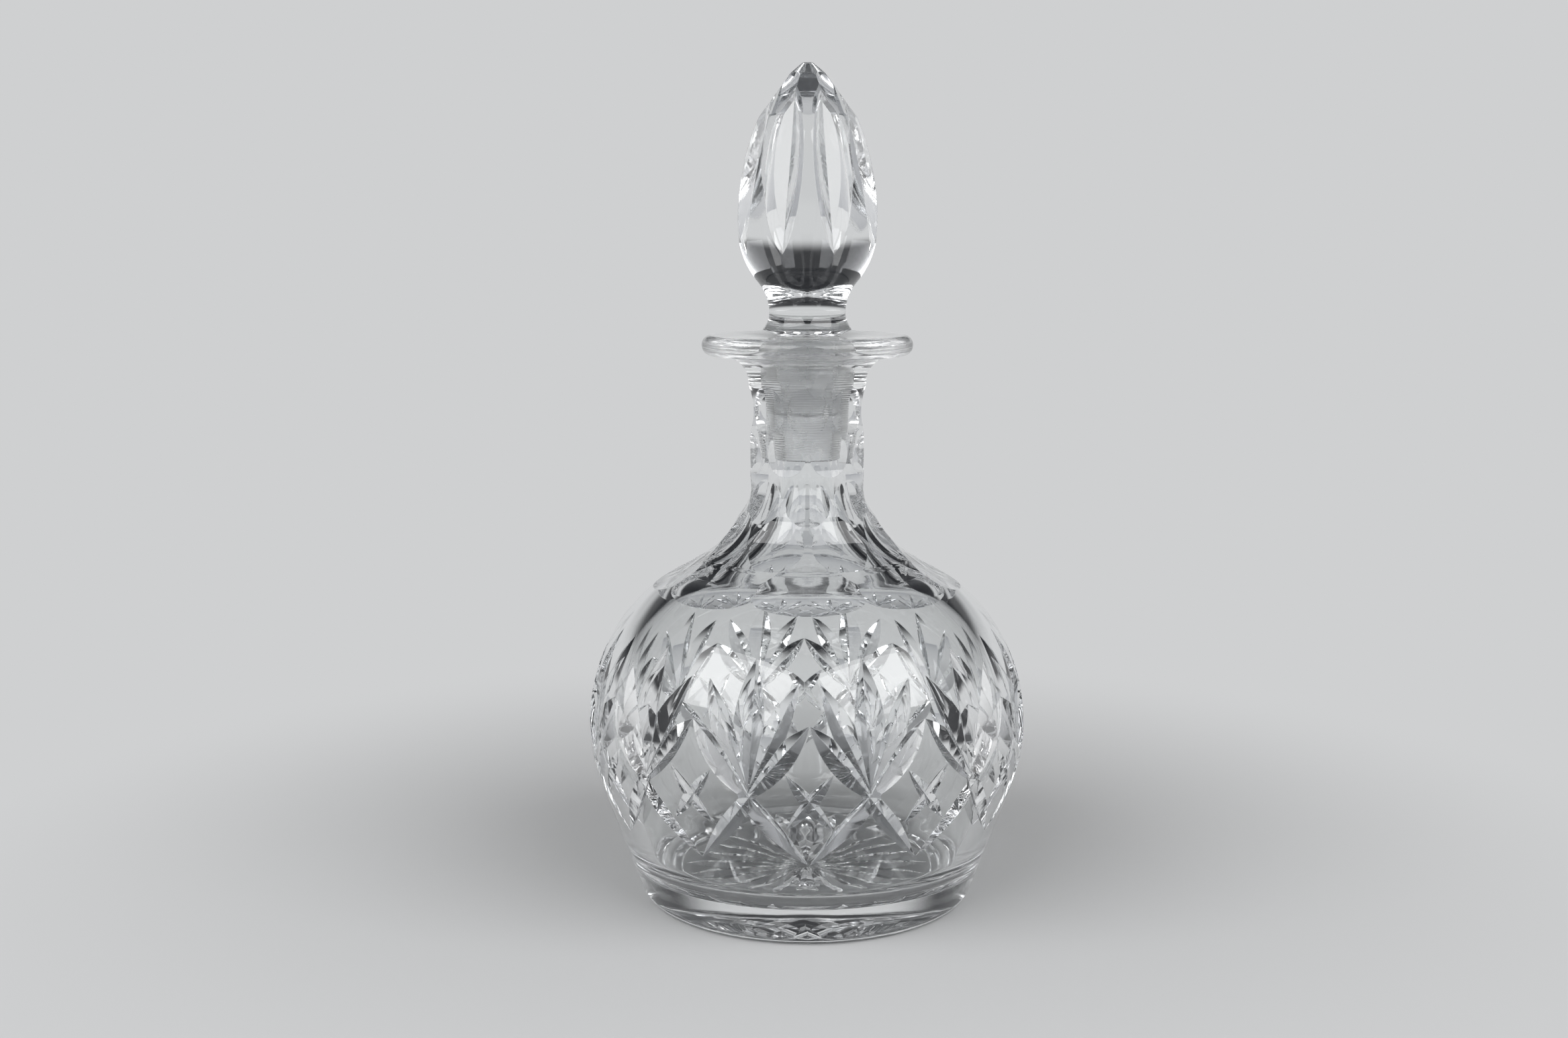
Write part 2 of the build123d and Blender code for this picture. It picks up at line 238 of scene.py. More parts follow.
class StopperSizes(bpy.types.PropertyGroup):
    """Sizes of the stopper"""

    peg_clearance: length("Peg clearance", "Gap between peg and bore", 0.00005)
    peg_length: length("Peg length", "Ground length of the peg", 0.022)
    peg_tip_round: length("Peg tip round", "Rounding of the peg's lower end", 0.0016)
    collar_radius: length("Collar radius", "Widest ring of the stem, just over the mouth", 0.0144)
    collar_gap: length("Collar gap", "Gap between the collar and the mouth's dish", 0.0013)
    collar_rise: length("Collar rise", "Rise of the collar's underside to its edge", 0.0018)
    stem_radius: length("Stem radius", "Waist of the stem", 0.0123)
    stem_rise: length("Stem rise", "Height of the waist over the lip", 0.007)
    finial_radius: length("Finial radius", "Greatest radius of the finial", stopper_top.y)
    finial_rise: length("Finial rise", "Height of that radius over the lip", 0.0345)
    finial_round: length("Finial round", "Radius of the finial's lower side", 0.028)
    finial_side_round: length("Finial side round", "Radius of its long upper side", 0.088)
    point_start_rise: length("Point start rise", "Height where the side turns in", 0.063)
    point_radius: length("Point radius", "Blunt end of the point", 0.0016)
    overall_height: length("Overall height", "Top of the point", stopper_top.z)
    flute_count: count("Flutes", "Flutes round the finial", 8)
    flute_bow: length("Flute bow", "How far a flute dips between its ends", 0.0005)
    flute_angle: angle("Flute angle", "Half the angle between a flute's two faces", 54)
    point_facet_bow: length("Point facet bow", "How far the facets round the point dip", 0.00015)


class StudioSettings(bpy.types.PropertyGroup):
    """The floor, the backdrop, the lamps and the camera"""

    floor_colour: colour("Floor", "Pale matt floor", "#cdcecf")
    backdrop_colour: colour("Backdrop", "Pale backdrop that the floor fades into", "#cfd0d1")
    overhead_colour: colour("Overhead", "Darkness of the room that the glass mirrors", "#26272a")
    dark_start: number("Dark start", "Rise of a ray at which that darkness starts", 0.11)
    dark_end: number("Dark end", "Rise of a ray at which it is darkest", 0.24)
    floor_radius: length("Floor radius", "Radius of the round floor", 2.0)
    fade_start: length("Fade start", "Where the floor begins to fade into the backdrop", 0.08)
    fade_end: length("Fade end", "Where it has faded", 0.34)
    softbox_width: length("Softbox width", "Width of the two softboxes", 1.12)
    softbox_height: length("Softbox height", "Height of the two softboxes", 0.7)
    softbox_distance: length("Softbox distance", "How far they stand from the decanter", 1.1)
    softbox_turn: angle("Softbox turn", "How far they stand to the side of the camera", 45)
    softbox_tilt: angle("Softbox tilt", "How far they stand above the decanter", 35)
    softbox_power: number("Softbox power", "Watts of each softbox", 8.5)
    fill_strength: number("Fill strength", "Even light from the room", 0.22)
    aim_height: length("Aim height", "Height that the softboxes face", 0.1)
    focal_pixels: number("Focal length", "In pixels of the photograph", 2750)
    camera_pitch: angle("Camera pitch", "How far the camera looks down", 8.92)
    camera_place: FloatVectorProperty(
        name="Camera place", description="Where the camera stands", default=(-0.0075, -0.5877, 0.217),
        subtype="TRANSLATION", unit="LENGTH",
    )


class DecanterScene(bpy.types.PropertyGroup):
    """Everything that can be set"""

    vessel: PointerProperty(type=VesselSizes)
    cuts: PointerProperty(type=CutSizes)
    stopper: PointerProperty(type=StopperSizes)
    studio: PointerProperty(type=StudioSettings)


# Shapes of revolution


def polar(radius, turn, height):
    """A point by its radius, its turn from the front and its height."""
    return Vector((radius * math.sin(turn), -radius * math.cos(turn), height))


class Swell:
    """The profile of a bulge that runs through a hollow, upright, into a slimmer stem."""

    def __init__(self, radius, height, bulge, stem, stem_height):
        self.bulge, self.stem, self.stem_height = bulge, stem, stem_height
        self.centre = Vector((radius - bulge, height))
        rise, offset = stem_height - height, stem - self.centre.x
        self.hollow = (offset**2 + rise**2 - bulge**2) / (2 * (bulge - offset))
        self.hollow_centre = Vector((stem + self.hollow, stem_height))
        self.join = self.centre.lerp(self.hollow_centre, bulge / (bulge + self.hollow))

    def leave(self, tilt):
        """The point of the bulge where the glass faces up by this tilt."""
        return self.centre + self.bulge * Vector((math.cos(tilt), math.sin(tilt)))


def on_bulge(centre, bulge, height):
    """Radius of an arc that bulges out at a height, and how far the glass faces up there."""
    tilt = math.asin((height - centre[1]) / bulge)
    return centre[0] + bulge * math.cos(tilt), tilt


class Vessel:
    """The vessel's profile and its blank skin, worked out from its sizes."""

    def __init__(self, sizes):
        self.sizes = sizes
        self.dish_floor = sizes.lip_height - sizes.mouth_dish
        self.mouth_top = self.dish_floor - sizes.mouth_edge
        self.ground_end = self.mouth_top - sizes.ground_length
        self.ground_radius = sizes.mouth_radius - sizes.taper * sizes.ground_length
        self.outside = Swell(
            sizes.belly_radius, sizes.belly_height, sizes.globe_round,
            sizes.neck_radius, sizes.neck_start,
        )
        self.inside = Swell(
            sizes.belly_radius - sizes.glass_wall, sizes.belly_height,
            sizes.globe_round - sizes.glass_wall,
            self.ground_radius - sizes.bore_step, self.ground_end - sizes.bore_run,
        )
        self.foot_radius = self.lower_wall(self.outside, 0)
        corner_run = sizes.foot_round * math.tan((math.pi / 2 - sizes.wall_lean) / 2)
        self.recess_radius = self.foot_radius - sizes.rest_width - corner_run

    def lower_wall(self, swell, height):
        """Radius of the leaning wall that leaves a swell tangentially."""
        leave = swell.leave(-self.sizes.wall_lean)
        return leave.x - (leave.y - height) * math.tan(self.sizes.wall_lean)

    def skin(self, height):
        """Radius of the blank vessel at a height, and how far its glass faces up there."""
        outside = self.outside
        if height < outside.leave(-self.sizes.wall_lean).y:
            return self.lower_wall(outside, height), -self.sizes.wall_lean
        if height < outside.join.y:
            return on_bulge(outside.centre, outside.bulge, height)
        if height < outside.stem_height:
            tilt = math.asin((outside.stem_height - height) / outside.hollow)
            return outside.hollow_centre.x - outside.hollow * math.cos(tilt), tilt
        return outside.stem, 0


class Finial:
    """The stopper's profile and its blank skin, worked out from its sizes."""

    def __init__(self, sizes, lip_height):
        self.sizes, self.lip_height = sizes, lip_height
        self.swell = Swell(
            sizes.finial_radius, lip_height + sizes.finial_rise, sizes.finial_round,
            sizes.stem_radius, lip_height + sizes.stem_rise,
        )
        self.side_centre = Vector((sizes.finial_radius - sizes.finial_side_round, self.swell.centre.y))
        height = lip_height + sizes.point_start_rise
        radius, tilt = on_bulge(self.side_centre, sizes.finial_side_round, height)
        self.point_start = Vector((radius, height))
        faces = Vector((math.cos(tilt), math.sin(tilt)))
        run = Vector((sizes.point_radius, sizes.overall_height)) - self.point_start
        self.point_bulge = -run.length_squared / (2 * run.dot(faces))
        self.point_centre = self.point_start - faces * self.point_bulge

    def skin(self, height):
        """Radius of the blank finial at a height, and how far its glass faces up there."""
        if height > self.point_start.y:
            return on_bulge(self.point_centre, self.point_bulge, height)
        if height > self.swell.centre.y:
            return on_bulge(self.side_centre, self.sizes.finial_side_round, height)
        return on_bulge(self.swell.centre, self.swell.bulge, height)


class Profile:
    """Half a section, drawn from point to point in the XZ plane and then spun."""

    def __init__(self, radius, height):
        self.mesh = bmesh.new()
        self.end = self.mesh.verts.new((radius, 0, height))

    def line(self, radius, height):
        """Carries the profile on in a straight line."""
        end = Vector((radius, 0, height))
        if (end - self.end.co).length > WELD:
            vert = self.mesh.verts.new(end)
            self.mesh.edges.new((self.end, vert))
            self.end = vert

    def arc(self, centre, radius, height):
        """Carries the profile on round a centre until it heads for a point."""
        centre = Vector((centre[0], 0, centre[1]))
        start, end = self.end.co - centre, Vector((radius, 0, height)) - centre
        turn = math.atan2(start.z, start.x) - math.atan2(end.z, end.x)
        turn = (turn + math.pi) % FULL_TURN - math.pi
        steps = math.ceil(abs(turn) / min(PROFILE_TURN, PROFILE_STEP / start.length))
        made = bmesh.ops.spin(
            self.mesh, geom=[self.end], cent=centre, axis=(0, 1, 0), angle=turn, steps=max(2, steps)
        )
        self.end = next(item for item in made["geom_last"] if isinstance(item, bmesh.types.BMVert))

    def corner(self, at, beyond, radius):
        """Carries the profile on to a corner and round it, towards the point beyond."""
        at = Vector((at[0], 0, at[1]))
        back = (self.end.co - at).normalized()
        ahead = (Vector((beyond[0], 0, beyond[1])) - at).normalized()
        half = back.angle(ahead) / 2
        start, end = (at + side * radius / math.tan(half) for side in (back, ahead))
        centre = at + (back + ahead).normalized() * radius / math.sin(half)
        self.line(start.x, start.z)
        self.arc((centre.x, centre.z), end.x, end.z)

    def corners(self, rounded, end):
        """Carries the profile on round corners, each (radius, height, rounding), to an end."""
        beyond = [corner[:2] for corner in rounded[1:]] + [tuple(end)]
        for (radius, height, rounding), ahead in zip(rounded, beyond):
            self.corner((radius, height), ahead, rounding)
        self.line(*end)

    def spun(self):
        """The closed shape that the profile makes when it is spun about the axis."""
        mesh = self.mesh
        geometry = mesh.verts[:] + mesh.edges[:]
        bmesh.ops.spin(
            mesh, geom=geometry, cent=(0, 0, 0), axis=(0, 0, 1), angle=FULL_TURN, steps=LATHE_STEPS,
            use_merge=True,
        )
        bmesh.ops.remove_doubles(mesh, verts=mesh.verts, dist=WELD)
        bmesh.ops.recalc_face_normals(mesh, faces=mesh.faces)
        return mesh


# The grinder's wheels, as cutters


def wheel_radius(chord, bow):
    """Radius of the wheel that dips by bow under a line of this length."""
    return (chord**2 / 4 + bow**2) / (2 * bow)


class Cut:
    """
    A straight line through the glass, the frame that a wheel needs to follow it, and how
    far the glass rises over the line's middle.
    """

    def __init__(self, first, last, faces, rise):
        self.middle = (first + last) / 2
        self.length = (last - first).length
        self.along = (last - first).normalized()
        self.out = (faces - self.along * faces.dot(self.along)).normalized()
        self.across = self.out.cross(self.along)
        self.rise = rise

    def place(self, along, across, out):
        """A point by how far it lies along, across and out from the line's middle."""
        return self.middle + self.along * along + self.across * across + self.out * out


def cut_between(skin, start, end):
    """The cut between two places on a skin, each a turn and a height."""
    first, last = (polar(skin(height)[0], turn, height) for turn, height in (start, end))
    middle = (first + last) / 2
    radius, tilt = skin(middle.z)
    faces = polar(math.cos(tilt), (start[0] + end[0]) / 2, math.sin(tilt))
    return Cut(first, last, faces, (radius - middle.xy.length) * math.cos(tilt))


def extrude(mesh, faces, run):
    """Carries faces on by a run, which makes a solid of them."""
    made = bmesh.ops.extrude_face_region(mesh, geom=faces)["geom"]
    far = [item for item in made if isinstance(item, bmesh.types.BMVert)]
    bmesh.ops.translate(mesh, verts=far, vec=run)


def roll(mesh, profile, cut, hub, wheel, sweep):
    """Rolls the profile of a wheel's edge round its hub, by a sweep to each side of the cut's middle."""
    bmesh.ops.rotate(mesh, verts=mesh.verts, cent=hub, matrix=Matrix.Rotation(-sweep, 3, cut.across))
    bmesh.ops.spin(
        mesh, geom=[profile], cent=hub, axis=cut.across, angle=2 * sweep,
        steps=math.ceil(2 * sweep * wheel / WHEEL_STEP),
    )


def groove(cut, bow, half_angle):
    """What a V-edged wheel takes away along a cut. With no bow it runs in a straight line."""
    mesh = bmesh.new()
    reach = bow + max(cut.rise, 0) + OVERRUN
    half_width = reach * math.tan(half_angle)
    edge = ((0, -bow), (half_width, reach - bow), (-half_width, reach - bow))
    end = cut.length / 2 + OVERRUN
    start = 0 if bow else -end
    face = mesh.faces.new([mesh.verts.new(cut.place(start, x, y)) for x, y in edge])
    if bow:
        wheel = wheel_radius(cut.length, bow)
        roll(mesh, face, cut, cut.place(0, 0, wheel - bow), wheel, math.asin(end / wheel))
    else:
        extrude(mesh, [face], cut.along * 2 * end)
    return mesh


def facet(cut, bow, half_width):
    """What a flat-edged wheel takes away along a cut."""
    mesh = bmesh.new()
    wheel = wheel_radius(cut.length, bow)
    reach = max(cut.rise, 0) + OVERRUN
    sweep = math.acos((wheel - bow - reach) / wheel)
    start = mesh.verts.new(cut.place(0, -half_width, -bow))
    roll(mesh, start, cut, cut.place(0, -half_width, wheel - bow), wheel, sweep)
    side = bmesh.ops.contextual_create(mesh, geom=mesh.verts[:])["faces"]
    extrude(mesh, side, cut.across * 2 * half_width)
    return mesh


class Wheelwork:
    """A pile of cutters that are taken from a blank together."""

    def __init__(self):
        self.cutters = bpy.data.collections.new("cutters")

    def add(self, mesh, times, first_turn):
        """Adds a cutter this many times round the axis, from its first turn on."""
        bmesh.ops.recalc_face_normals(mesh, faces=mesh.faces)
        for face in mesh.faces:
            face.material_index = CUT_SLOT
        for n in range(times):
            data = finished(bpy.data.meshes.new("cutter"))
            mesh.to_mesh(data)
            data.transform(Matrix.Rotation(first_turn + FULL_TURN * n / times, 4, "Z"))
            self.cutters.objects.link(bpy.data.objects.new("cutter", data))
        mesh.free()

    def cut(self, piece):
        """Takes the cutters from a blank piece."""
        wheel = piece.modifiers.new("wheel", "BOOLEAN")
        wheel.operation = "DIFFERENCE"
        wheel.operand_type = "COLLECTION"
        wheel.solver = "MANIFOLD"
        wheel.collection = self.cutters
        blank = piece.data
        graph = bpy.context.evaluated_depsgraph_get()
        piece.data = bpy.data.meshes.new_from_object(piece.evaluated_get(graph))
        piece.modifiers.clear()
        bpy.data.meshes.remove(blank)
        for cutter in list(self.cutters.objects):
            bpy.data.meshes.remove(cutter.data)
        bpy.data.collections.remove(self.cutters)


def finished(data):
    """Gives a mesh the three finishes of the glass, in the order of their slots."""
    for finish in (polished_crystal, cut_crystal, ground_crystal):
        data.materials.append(finish())
    return data


def fan_cuts(vessel, cuts, work):
    """The globe's fans of leaves over crossed mitres."""
    fan_turn = FULL_TURN / cuts.fan_count
    belly = vessel.sizes.belly_height
    rows = [(side, row) for side in (-1, 1) for row in FAN_SHARES] + [(1, MIDDLE_LEAF_SHARES)]
    for side, (start_turn, start, end_turn, end, bow, half_angle) in rows:
        turn = side * fan_turn
        low, high = (turn * start_turn, start * belly), (turn * end_turn, end * belly)
        line = cut_between(vessel.skin, low, high)
        mesh = groove(line, getattr(cuts, bow) if bow else 0, getattr(cuts, half_angle))
        work.add(mesh, cuts.fan_count, fan_turn / 2)


def neck_cuts(vessel, cuts, work):
    """The scallops of the shoulder and the neck."""
    start, facet_turn = vessel.sizes.neck_start, FULL_TURN / cuts.facet_count
    for low, high, turn, depth in FACET_ROW_SHARES:
        line = cut_between(vessel.skin, (0, low * start), (0, high * start))
        mesh = facet(line, getattr(cuts, depth) - line.rise, vessel.skin(line.middle.z)[0])
        work.add(mesh, cuts.facet_count, turn * facet_turn)


def star_cuts(vessel, cuts, work):
    """The rays of the star under the base."""
    sizes = vessel.sizes
    rim = vessel.recess_radius - sizes.recess_depth - cuts.star_margin
    eye, end = (polar(radius, 0, sizes.recess_depth) for radius in (cuts.star_eye_radius, rim))
    ray = Cut(eye, end, Vector((0, 0, -1)), 0)
    work.add(groove(ray, cuts.star_ray_depth, cuts.star_angle), cuts.star_rays, 0)


def flute_cuts(finial, work):
    """The long flutes of the finial, and the facets round its point between them."""
    sizes = finial.sizes
    glass = sizes.overall_height - finial.lip_height
    flute_ends = ((0, finial.lip_height + glass * share) for share in FLUTE_SHARES)
    facet_ends = ((0, finial.lip_height + glass * share) for share in POINT_FACET_SHARES)
    flute_turn = FULL_TURN / sizes.flute_count
    flute = cut_between(finial.skin, *flute_ends)
    work.add(groove(flute, sizes.flute_bow, sizes.flute_angle), sizes.flute_count, flute_turn / 2)
    point = cut_between(finial.skin, *facet_ends)
    mesh = facet(point, sizes.point_facet_bow, finial.skin(point.middle.z)[0])
    work.add(mesh, sizes.flute_count, 0)


# The two blanks


def vessel_blank(vessel):
    """The blown vessel with its lip and its ground mouth, before any cutting."""
    sizes, outside, inside = vessel.sizes, vessel.outside, vessel.inside
    leave, lip_low = outside.leave(-sizes.wall_lean), sizes.lip_height - sizes.lip_thickness
    profile = Profile(0, sizes.recess_depth)
    profile.line(vessel.recess_radius - sizes.recess_depth, sizes.recess_depth)
    profile.line(vessel.recess_radius, 0)
    profile.corners([(vessel.foot_radius, 0, sizes.foot_round)], leave)
    profile.arc(outside.centre, *outside.join)
    profile.arc(outside.hollow_centre, sizes.neck_radius, sizes.neck_start)
    lip = [
        (sizes.neck_radius, sizes.flare_start, sizes.lip_root_round),
        (sizes.neck_radius + sizes.flare_growth, lip_low - sizes.lip_drop, sizes.lip_root_round),
        (sizes.lip_radius, lip_low, sizes.lip_edge_round),
        (sizes.lip_radius, sizes.lip_height, sizes.lip_edge_round),
        (sizes.mouth_radius + sizes.mouth_edge, vessel.dish_floor, sizes.mouth_edge),
    ]
    profile.corners(lip, (sizes.mouth_radius, vessel.mouth_top))
    profile.line(vessel.ground_radius, vessel.ground_end)
    profile.line(inside.stem, vessel.ground_end - sizes.bore_step)
    profile.line(inside.stem, inside.stem_height)
    profile.arc(inside.hollow_centre, *inside.join)
    profile.arc(inside.centre, *inside.leave(-sizes.wall_lean))
    floor = vessel.lower_wall(inside, sizes.base_thickness)
    profile.corners([(floor, sizes.base_thickness, sizes.cavity_round)], (0, sizes.base_thickness))
    return profile.spun()


def stopper_blank(finial, vessel):
    """The stopper's peg, collar, stem and finial, before any cutting."""
    sizes, swell = finial.sizes, finial.swell
    taper = vessel.sizes.taper
    peg_low = vessel.mouth_top - sizes.peg_length
    peg_top = vessel.sizes.mouth_radius - sizes.peg_clearance
    collar = vessel.dish_floor + sizes.collar_gap
    collar_peg = peg_top + taper * (collar - vessel.mouth_top)
    edge = collar + sizes.collar_rise
    spread = sizes.collar_radius - sizes.stem_radius
    stem_round = (spread**2 + (swell.stem_height - edge) ** 2) / (2 * spread)
    profile = Profile(0, peg_low)
    tip = (peg_top - taper * sizes.peg_length, peg_low, sizes.peg_tip_round)
    profile.corners([tip], (collar_peg, collar))
    profile.line(sizes.collar_radius, edge)
    stem_centre = (sizes.stem_radius + stem_round, swell.stem_height)
    profile.arc(stem_centre, sizes.stem_radius, swell.stem_height)
    profile.arc(swell.hollow_centre, *swell.join)
    profile.arc(swell.centre, sizes.finial_radius, swell.centre.y)
    profile.arc(finial.side_centre, *finial.point_start)
    profile.arc(finial.point_centre, sizes.point_radius, sizes.overall_height)
    profile.line(0, sizes.overall_height)
    return profile.spun()


def frost(mesh, low, high, widest):
    """Grinds the faces of a blank that lie between two heights and within a radius."""
    for face in mesh.faces:
        middle = face.calc_center_median()
        if low < middle.z < high and middle.xy.length < widest:
            face.material_index = GROUND_SLOT


def add_object(name, data):
    """Puts data into the scene, as an object by this name."""
    item = bpy.data.objects.new(name, data)
    bpy.context.scene.collection.objects.link(item)
    return item


def blank_piece(name, mesh):
    """The object that a blank makes."""
    data = finished(bpy.data.meshes.new(name))
    mesh.to_mesh(data)
    mesh.free()
    return add_object(name, data)


def finish_piece(piece, name, body, node):
    """Names a cut piece, shades it smooth with sharp edges, and sets it in the place of its CAD node."""
    piece.data.name = name
    piece.data.shade_smooth()
    piece.data.set_sharp_from_angle(angle=SHARP_ANGLE)
    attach(piece, body)
    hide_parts(node)


# Finishes


def add_node(tree, kind, values=None, links=None, **settings):
    """Adds a node with its settings, the values of its sockets and the links into them."""
    node = tree.nodes.new(kind)
    for name, value in settings.items():
        setattr(node, name, value)
    for name, value in (values or {}).items():
        node.inputs[name].default_value = value
    for name, output in (links or {}).items():
        tree.links.new(output, node.inputs[name])
    return node


def new_material(name):
    """
    An empty material by this name, its node tree and its object coordinates, or the
    material alone where it has been made before.
    """
    material = bpy.data.materials.get(name)
    if material:
        return material, None, None
    material = bpy.data.materials.new(name)
    material.use_nodes = True
    tree = material.node_tree
    tree.nodes.clear()
    return material, tree, add_node(tree, "ShaderNodeTexCoord").outputs["Object"]


def crystal(tree, height, relief, values, links=None):
    """
    The lead crystal that all the finishes share: heavy and clear, it bends light strongly,
    greys a little in its thickest places, and its edges are slightly eased. Where the
    height is 1 the surface seems raised by the relief.
    """
    eased = add_node(tree, "ShaderNodeBevel", {"Radius": EASED_EDGE})
    bump = add_node(
        tree, "ShaderNodeBump", {"Distance": relief},
        {"Height": height, "Normal": eased.outputs["Normal"]},
    )
    glass = {"Base Color": (*linear(SURFACE_TINT), 1), "IOR": GLASS_INDEX, "Transmission Weight": 1}
    shader = add_node(
        tree, "ShaderNodeBsdfPrincipled", {**glass, **values},
        {"Normal": bump.outputs["Normal"], **(links or {})},
    )
    depth = add_node(
        tree, "ShaderNodeVolumeAbsorption",
        {"Color": (*linear(DEPTH_TINT), 1), "Density": DEPTH_DENSITY},
    )
    add_node(
        tree, "ShaderNodeOutputMaterial",
        links={"Surface": shader.outputs["BSDF"], "Volume": depth.outputs["Volume"]},
    )


def polished_crystal():
    """Lead crystal, blown and fire-polished: mirror-smooth, with the slow waves of a blown skin."""
    material, tree, place = new_material("fire_polished_lead_crystal")
    if tree:
        waves = add_node(
            tree, "ShaderNodeTexNoise", {"Scale": 1 / BLOWN_WAVES, "Detail": 1, "Roughness": 0.4},
            {"Vector": place},
        )
        crystal(tree, waves.outputs["Fac"], BLOWN_RELIEF, {"Roughness": 0})
    return material


def cut_crystal():
    """Lead crystal, wheel-cut and acid-polished: bright faces with a soft, faintly rippled gloss."""
    material, tree, place = new_material("acid_polished_cut_crystal")
    if tree:
        ripples = add_node(tree, "ShaderNodeTexNoise", {"Scale": 1 / WHEEL_RIPPLES}, {"Vector": place})
        crystal(tree, ripples.outputs["Fac"], WHEEL_RELIEF, {"Roughness": CUT_ROUGHNESS})
    return material


def ground_crystal():
    """
    Lead crystal, ground with fine grit where peg and neck meet: a silky frost that is
    thinner where the two have rubbed, with the fine rings that the turning left.
    """
    material, tree, place = new_material("ground_lead_crystal")
    if tree:
        rings = add_node(
            tree, "ShaderNodeTexWave",
            {"Scale": ONE_BAND / GRINDING_RINGS, "Distortion": 0.6, "Detail Scale": 1.5},
            {"Vector": place}, bands_direction="Z",
        )
        patches = add_node(tree, "ShaderNodeTexNoise", {"Scale": 1 / RUBBED_PATCHES}, {"Vector": place})
        rubbed = add_node(
            tree, "ShaderNodeMapRange",
            {
                "From Min": RUBBED_LEVEL, "From Max": FROST_LEVEL,
                "To Min": RUBBED_ROUGHNESS, "To Max": FROST_ROUGHNESS,
            },
            {"Value": patches.outputs["Fac"]},
        )
        crystal(
            tree, rings.outputs["Fac"], GRINDING_RELIEF, {"Transmission Weight": GROUND_CLEAR},
            {"Roughness": rubbed.outputs["Result"]},
        )
    return material


# The studio


def seen_rays(tree):
    """
    Two values: 1 for the rays that glass bends or mirrors, and 1 for those that show a
    backdrop, which are these and the camera's own.
    """
    path = add_node(tree, "ShaderNodeLightPath").outputs
    bent = add_node(
        tree, "ShaderNodeMath", links={0: path["Is Glossy Ray"], 1: path["Is Transmission Ray"]},
        operation="MAXIMUM",
    )
    shown = add_node(
        tree, "ShaderNodeMath", links={0: path["Is Camera Ray"], 1: bent.outputs["Value"]},
        operation="MAXIMUM",
    )
    return bent.outputs["Value"], shown.outputs["Value"]


def matt_floor(studio):
    """Matt painted board, which fades into the backdrop all round the decanter."""
    material, tree, place = new_material("matt_painted_board")
    if tree:
        grain = add_node(
            tree, "ShaderNodeTexNoise", {"Scale": 1 / BOARD_GRAIN, "Detail": 3}, {"Vector": place}
        )
        bump = add_node(
            tree, "ShaderNodeBump", {"Strength": 0.1, "Distance": BOARD_RELIEF},
            {"Height": grain.outputs["Fac"]},
        )
        board = add_node(
            tree, "ShaderNodeBsdfPrincipled",
            {
                "Base Color": (*studio.floor_colour, 1), "Roughness": BOARD_ROUGHNESS,
                "Specular IOR Level": BOARD_SHINE,
            },
            {"Normal": bump.outputs["Normal"]},
        )
        away = add_node(tree, "ShaderNodeVectorMath", links={"Vector": place}, operation="LENGTH")
        fade = add_node(
            tree, "ShaderNodeMapRange",
            {"From Min": studio.fade_start, "From Max": studio.fade_end},
            {"Value": away.outputs["Value"]}, interpolation_type="SMOOTHSTEP",
        )
        backdrop = add_node(
            tree, "ShaderNodeEmission", {"Color": (*studio.backdrop_colour, 1)},
            {"Strength": seen_rays(tree)[1]},
        )
        mixed = add_node(
            tree, "ShaderNodeMixShader",
            links={0: fade.outputs["Result"], 1: board.outputs["BSDF"], 2: backdrop.outputs["Emission"]},
        )
        add_node(tree, "ShaderNodeOutputMaterial", links={"Surface": mixed.outputs["Shader"]})
    return material


def lay_floor(studio):
    """The plain round floor."""
    mesh = bmesh.new()
    bmesh.ops.create_circle(mesh, cap_ends=True, segments=LATHE_STEPS, radius=studio.floor_radius)
    bmesh.ops.translate(mesh, verts=mesh.verts, vec=(0, 0, -FLOOR_GAP))
    data = bpy.data.meshes.new("floor")
    mesh.to_mesh(data)
    mesh.free()
    data.materials.append(matt_floor(studio))
    floor = add_object("floor", data)


def hang_backdrop(studio):
    """The world: a pale backdrop, a plain fill light, and a dark room overhead that glass mirrors."""
    world = bpy.data.worlds.new("studio")
    world.use_nodes = True
    tree = world.node_tree
    tree.nodes.clear()
    bent, shown = seen_rays(tree)
    way = add_node(tree, "ShaderNodeTexCoord").outputs["Generated"]
    up = add_node(tree, "ShaderNodeSeparateXYZ", links={"Vector": way}).outputs["Z"]
    rise = add_node(
        tree, "ShaderNodeMapRange", {"From Min": studio.dark_start, "From Max": studio.dark_end},
        {"Value": up}, interpolation_type="SMOOTHSTEP",
    )
    dark = add_node(
        tree, "ShaderNodeMath", links={0: rise.outputs["Result"], 1: bent}, operation="MULTIPLY"
    )
    # Of a mix node's sockets, 6 and 7 take the two colours and output 2 gives the mixed one
    room = add_node(
        tree, "ShaderNodeMix", {6: (*studio.backdrop_colour, 1), 7: (*studio.overhead_colour, 1)},
        {0: dark.outputs["Value"]}, data_type="RGBA",
    )
    backdrop = add_node(tree, "ShaderNodeBackground", links={"Color": room.outputs[2]})
    fill = add_node(
        tree, "ShaderNodeBackground", {"Color": (1, 1, 1, 1), "Strength": studio.fill_strength}
    )
    mixed = add_node(
        tree, "ShaderNodeMixShader",
        links={0: shown, 1: fill.outputs["Background"], 2: backdrop.outputs["Background"]},
    )
    add_node(tree, "ShaderNodeOutputWorld", links={"Surface": mixed.outputs["Shader"]})
    bpy.context.scene.world = world


